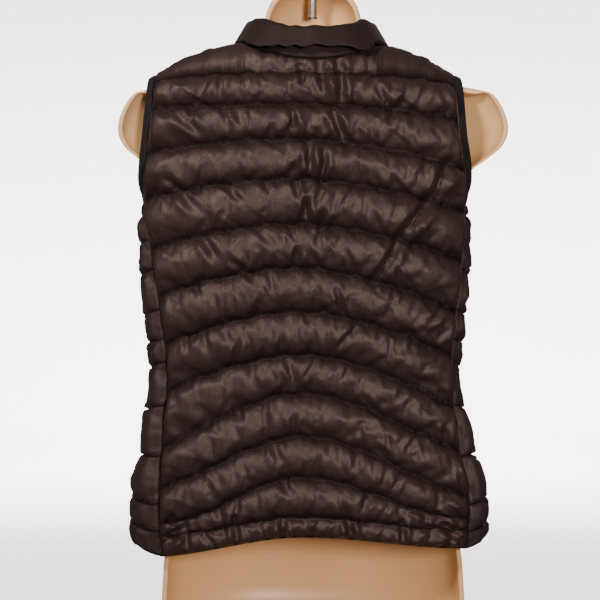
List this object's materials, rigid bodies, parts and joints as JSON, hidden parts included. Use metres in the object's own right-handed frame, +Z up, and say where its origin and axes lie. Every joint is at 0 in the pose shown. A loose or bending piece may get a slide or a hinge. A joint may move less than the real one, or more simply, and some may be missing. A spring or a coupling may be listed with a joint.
{
  "type": "women's puffer vest on a hanging torso form with a wire hook",
  "caption": "Closed puffer vest with arched quilting and a turned-down collar, worn by a hollow-backed torso form that hangs from a wire hook.",
  "frame": {"origin": "the point where the wire hook bears on the rod or rail it hangs from", "axes": "+Z up along the object's length; the wearer faces +Y, so the pictured back faces -Y; +X is the wearer's right"},
  "size_m": [0.476, 0.1766, 0.8965],
  "materials": {
    "cloth": "smooth woven nylon with a soft sheen",
    "trim": "matt knitted elastic and woven tape",
    "zip": "satin",
    "form": "semi-gloss moulded",
    "steel": "satin"
  },
  "bodies": {
    "vest": {"back_panel": "cloth", "side_panel_left": "cloth", "side_panel_right": "cloth", "front_panel_left": "cloth", "front_panel_right": "cloth", "collar": "cloth", "armhole_binding_left": "trim", "armhole_binding_right": "trim", "zip_tape_left": "trim", "zip_tape_right": "trim", "zip_chain": "zip", "zip_slider": "steel", "torso_form": "form", "hook_stud": "steel", "hook_wire": "steel"},
    "zip_pull": {"zip_pull": "steel"}
  },
  "joints": [
    {"name": "pull_swing", "type": "hinge", "parent": "vest", "child": "zip_pull", "pos_m": [-0.002, 0.06692, -0.17118], "axis": [1, 0, 0], "range_deg": [0, 160]}
  ]
}
